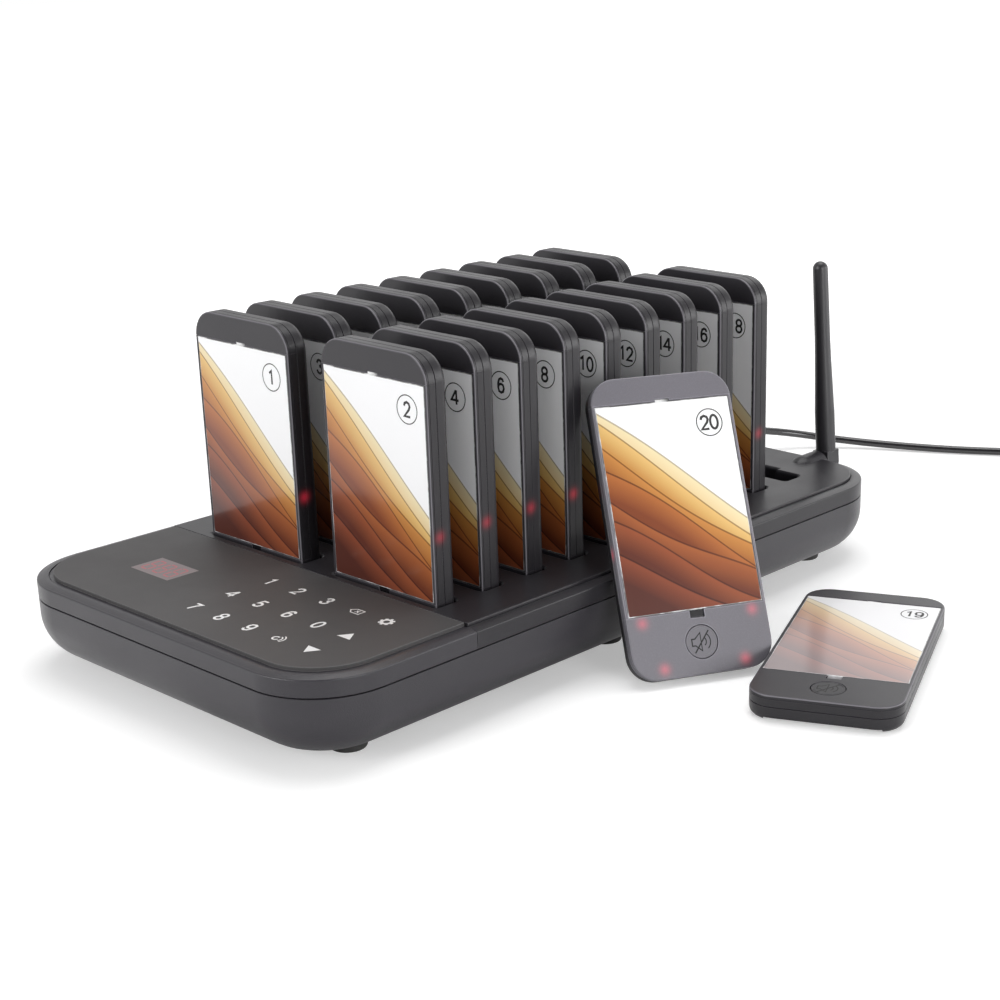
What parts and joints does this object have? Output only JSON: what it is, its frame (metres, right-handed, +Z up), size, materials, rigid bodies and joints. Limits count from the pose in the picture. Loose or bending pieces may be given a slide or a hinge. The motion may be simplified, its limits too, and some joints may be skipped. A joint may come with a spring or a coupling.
{
  "type": "guest pager system",
  "caption": "Low charging base with a touch keypad, a display window and a rear whip antenna, holding flat card-faced guest pagers on end in slots, with loose pagers beside it.",
  "frame": {"origin": "middle of the footprint of the base, its antenna and the loose pagers, on the surface they stand on; the power cord and what is on it are left out", "axes": "+Z up, +Y towards the antenna end, -Y towards the keypad end, +X to the operator's right"},
  "size_m": [0.331, 0.5423, 0.131],
  "materials": {
    "case": "satin",
    "deck": "satin",
    "touch_panel": "satin",
    "display": "satin",
    "circuit_board": "satin",
    "feet": "matte",
    "screws": "satin",
    "socket": "satin",
    "cord": "satin",
    "adapter": "satin",
    "antenna": "satin",
    "pager": "satin",
    "pager_back": "satin",
    "pager_window": "gloss",
    "button": "satin"
  },
  "bodies": {
    "base": {"lower_case": "case", "keypad_cover": "case", "dock_cover": "deck", "touch_panel": "touch_panel", "display_module": "display", "keypad_board": "circuit_board", "charging_board": "circuit_board", "rubber_feet": "feet", "case_screws": "screws", "power_socket": "socket", "power_plug": "cord", "power_cord": "cord", "power_cord_coil": "cord", "power_adapter": "adapter"},
    "antenna_barrel": {"antenna_barrel": "antenna"},
    "antenna_whip": {"antenna_whip": "antenna"},
    "pager_01": {"pager_01": "pager"},
    "pager_01_mute": {"pager_01_mute_button": "button"},
    "pager_02": {"pager_02": "pager"},
    "pager_02_mute": {"pager_02_mute_button": "button"},
    "pager_03": {"pager_03": "pager"},
    "pager_03_mute": {"pager_03_mute_button": "button"},
    "pager_04": {"pager_04": "pager"},
    "pager_04_mute": {"pager_04_mute_button": "button"},
    "pager_05": {"pager_05": "pager"},
    "pager_05_mute": {"pager_05_mute_button": "button"},
    "pager_06": {"pager_06": "pager"},
    "pager_06_mute": {"pager_06_mute_button": "button"},
    "pager_07": {"pager_07": "pager"},
    "pager_07_mute": {"pager_07_mute_button": "button"},
    "pager_08": {"pager_08": "pager"},
    "pager_08_mute": {"pager_08_mute_button": "button"},
    "pager_09": {"pager_09": "pager"},
    "pager_09_mute": {"pager_09_mute_button": "button"},
    "pager_10": {"pager_10": "pager"},
    "pager_10_mute": {"pager_10_mute_button": "button"},
    "pager_11": {"pager_11": "pager"},
    "pager_11_mute": {"pager_11_mute_button": "button"},
    "pager_12": {"pager_12": "pager"},
    "pager_12_mute": {"pager_12_mute_button": "button"},
    "pager_13": {"pager_13": "pager"},
    "pager_13_mute": {"pager_13_mute_button": "button"},
    "pager_14": {"pager_14": "pager"},
    "pager_14_mute": {"pager_14_mute_button": "button"},
    "pager_15": {"pager_15": "pager"},
    "pager_15_mute": {"pager_15_mute_button": "button"},
    "pager_16": {"pager_16": "pager"},
    "pager_16_mute": {"pager_16_mute_button": "button"},
    "pager_17": {"pager_17": "pager"},
    "pager_17_mute": {"pager_17_mute_button": "button"},
    "pager_18": {"pager_18": "pager"},
    "pager_18_mute": {"pager_18_mute_button": "button"},
    "pager_19": {"pager_19_front_shell": "pager", "pager_19_rear_shell": "pager_back", "pager_19_window": "pager_window"},
    "pager_19_mute": {"pager_19_mute_button": "button"},
    "pager_20": {"pager_20_front_shell": "pager", "pager_20_rear_shell": "pager_back", "pager_20_window": "pager_window"},
    "pager_20_mute": {"pager_20_mute_button": "button"}
  },
  "joints": [
    {"name": "antenna_swivel", "type": "hinge", "parent": "base", "child": "antenna_barrel", "pos_m": [-0.00438, 0.16685, 0.034], "axis": [0, 1, 0], "range_deg": [-86.2, 93.8]},
    {"name": "antenna_tilt", "type": "hinge", "parent": "antenna_barrel", "child": "antenna_whip", "pos_m": [-0.00438, 0.16685, 0.034], "axis": [-0.9978, 0, -0.0663], "range_deg": [0, 90]},
    {"name": "pager_01_lift", "type": "slide", "parent": "base", "child": "pager_01", "axis": [0, 0, 1], "range_m": [0, 0.06]},
    {"name": "pager_01_mute", "type": "slide", "parent": "pager_01", "child": "pager_01_mute", "axis": [0, 1, 0], "range_m": [0, 0.0006], "stiffness_N_per_m": 500},
    {"name": "pager_02_lift", "type": "slide", "parent": "base", "child": "pager_02", "axis": [0, 0, 1], "range_m": [0, 0.06]},
    {"name": "pager_02_mute", "type": "slide", "parent": "pager_02", "child": "pager_02_mute", "axis": [0, 1, 0], "range_m": [0, 0.0006], "stiffness_N_per_m": 500},
    {"name": "pager_03_lift", "type": "slide", "parent": "base", "child": "pager_03", "axis": [0, 0, 1], "range_m": [0, 0.06]},
    {"name": "pager_03_mute", "type": "slide", "parent": "pager_03", "child": "pager_03_mute", "axis": [0, 1, 0], "range_m": [0, 0.0006], "stiffness_N_per_m": 500},
    {"name": "pager_04_lift", "type": "slide", "parent": "base", "child": "pager_04", "axis": [0, 0, 1], "range_m": [0, 0.06]},
    {"name": "pager_04_mute", "type": "slide", "parent": "pager_04", "child": "pager_04_mute", "axis": [0, 1, 0], "range_m": [0, 0.0006], "stiffness_N_per_m": 500},
    {"name": "pager_05_lift", "type": "slide", "parent": "base", "child": "pager_05", "axis": [0, 0, 1], "range_m": [0, 0.06]},
    {"name": "pager_05_mute", "type": "slide", "parent": "pager_05", "child": "pager_05_mute", "axis": [0, 1, 0], "range_m": [0, 0.0006], "stiffness_N_per_m": 500},
    {"name": "pager_06_lift", "type": "slide", "parent": "base", "child": "pager_06", "axis": [0, 0, 1], "range_m": [0, 0.06]},
    {"name": "pager_06_mute", "type": "slide", "parent": "pager_06", "child": "pager_06_mute", "axis": [0, 1, 0], "range_m": [0, 0.0006], "stiffness_N_per_m": 500},
    {"name": "pager_07_lift", "type": "slide", "parent": "base", "child": "pager_07", "axis": [0, 0, 1], "range_m": [0, 0.06]},
    {"name": "pager_07_mute", "type": "slide", "parent": "pager_07", "child": "pager_07_mute", "axis": [0, 1, 0], "range_m": [0, 0.0006], "stiffness_N_per_m": 500},
    {"name": "pager_08_lift", "type": "slide", "parent": "base", "child": "pager_08", "axis": [0, 0, 1], "range_m": [0, 0.06]},
    {"name": "pager_08_mute", "type": "slide", "parent": "pager_08", "child": "pager_08_mute", "axis": [0, 1, 0], "range_m": [0, 0.0006], "stiffness_N_per_m": 500},
    {"name": "pager_09_lift", "type": "slide", "parent": "base", "child": "pager_09", "axis": [0, 0, 1], "range_m": [0, 0.06]},
    {"name": "pager_09_mute", "type": "slide", "parent": "pager_09", "child": "pager_09_mute", "axis": [0, 1, 0], "range_m": [0, 0.0006], "stiffness_N_per_m": 500},
    {"name": "pager_10_lift", "type": "slide", "parent": "base", "child": "pager_10", "axis": [0, 0, 1], "range_m": [0, 0.06]},
    {"name": "pager_10_mute", "type": "slide", "parent": "pager_10", "child": "pager_10_mute", "axis": [0, 1, 0], "range_m": [0, 0.0006], "stiffness_N_per_m": 500},
    {"name": "pager_11_lift", "type": "slide", "parent": "base", "child": "pager_11", "axis": [0, 0, 1], "range_m": [0, 0.06]},
    {"name": "pager_11_mute", "type": "slide", "parent": "pager_11", "child": "pager_11_mute", "axis": [0, 1, 0], "range_m": [0, 0.0006], "stiffness_N_per_m": 500},
    {"name": "pager_12_lift", "type": "slide", "parent": "base", "child": "pager_12", "axis": [0, 0, 1], "range_m": [0, 0.06]},
    {"name": "pager_12_mute", "type": "slide", "parent": "pager_12", "child": "pager_12_mute", "axis": [0, 1, 0], "range_m": [0, 0.0006], "stiffness_N_per_m": 500},
    {"name": "pager_13_lift", "type": "slide", "parent": "base", "child": "pager_13", "axis": [0, 0, 1], "range_m": [0, 0.06]},
    {"name": "pager_13_mute", "type": "slide", "parent": "pager_13", "child": "pager_13_mute", "axis": [0, 1, 0], "range_m": [0, 0.0006], "stiffness_N_per_m": 500},
    {"name": "pager_14_lift", "type": "slide", "parent": "base", "child": "pager_14", "axis": [0, 0, 1], "range_m": [0, 0.06]},
    {"name": "pager_14_mute", "type": "slide", "parent": "pager_14", "child": "pager_14_mute", "axis": [0, 1, 0], "range_m": [0, 0.0006], "stiffness_N_per_m": 500},
    {"name": "pager_15_lift", "type": "slide", "parent": "base", "child": "pager_15", "axis": [0, 0, 1], "range_m": [0, 0.06]},
    {"name": "pager_15_mute", "type": "slide", "parent": "pager_15", "child": "pager_15_mute", "axis": [0, 1, 0], "range_m": [0, 0.0006], "stiffness_N_per_m": 500},
    {"name": "pager_16_lift", "type": "slide", "parent": "base", "child": "pager_16", "axis": [0, 0, 1], "range_m": [0, 0.06]},
    {"name": "pager_16_mute", "type": "slide", "parent": "pager_16", "child": "pager_16_mute", "axis": [0, 1, 0], "range_m": [0, 0.0006], "stiffness_N_per_m": 500},
    {"name": "pager_17_lift", "type": "slide", "parent": "base", "child": "pager_17", "axis": [0, 0, 1], "range_m": [0, 0.06]},
    {"name": "pager_17_mute", "type": "slide", "parent": "pager_17", "child": "pager_17_mute", "axis": [0, 1, 0], "range_m": [0, 0.0006], "stiffness_N_per_m": 500},
    {"name": "pager_18_lift", "type": "slide", "parent": "base", "child": "pager_18", "axis": [0, 0, 1], "range_m": [0, 0.06]},
    {"name": "pager_18_mute", "type": "slide", "parent": "pager_18", "child": "pager_18_mute", "axis": [0, 1, 0], "range_m": [0, 0.0006], "stiffness_N_per_m": 500},
    {"name": "pager_19_lift", "type": "slide", "parent": "base", "child": "pager_19", "axis": [0, 0, 1], "range_m": [0, 0.06]},
    {"name": "pager_19_mute", "type": "slide", "parent": "pager_19", "child": "pager_19_mute", "axis": [0, 0, -1], "range_m": [0, 0.0006], "stiffness_N_per_m": 500},
    {"name": "pager_20_lift", "type": "slide", "parent": "base", "child": "pager_20", "axis": [0, 0, 1], "range_m": [0, 0.06]},
    {"name": "pager_20_mute", "type": "slide", "parent": "pager_20", "child": "pager_20_mute", "axis": [-0.7865, 0.427, -0.4462], "range_m": [0, 0.0006], "stiffness_N_per_m": 500}
  ]
}
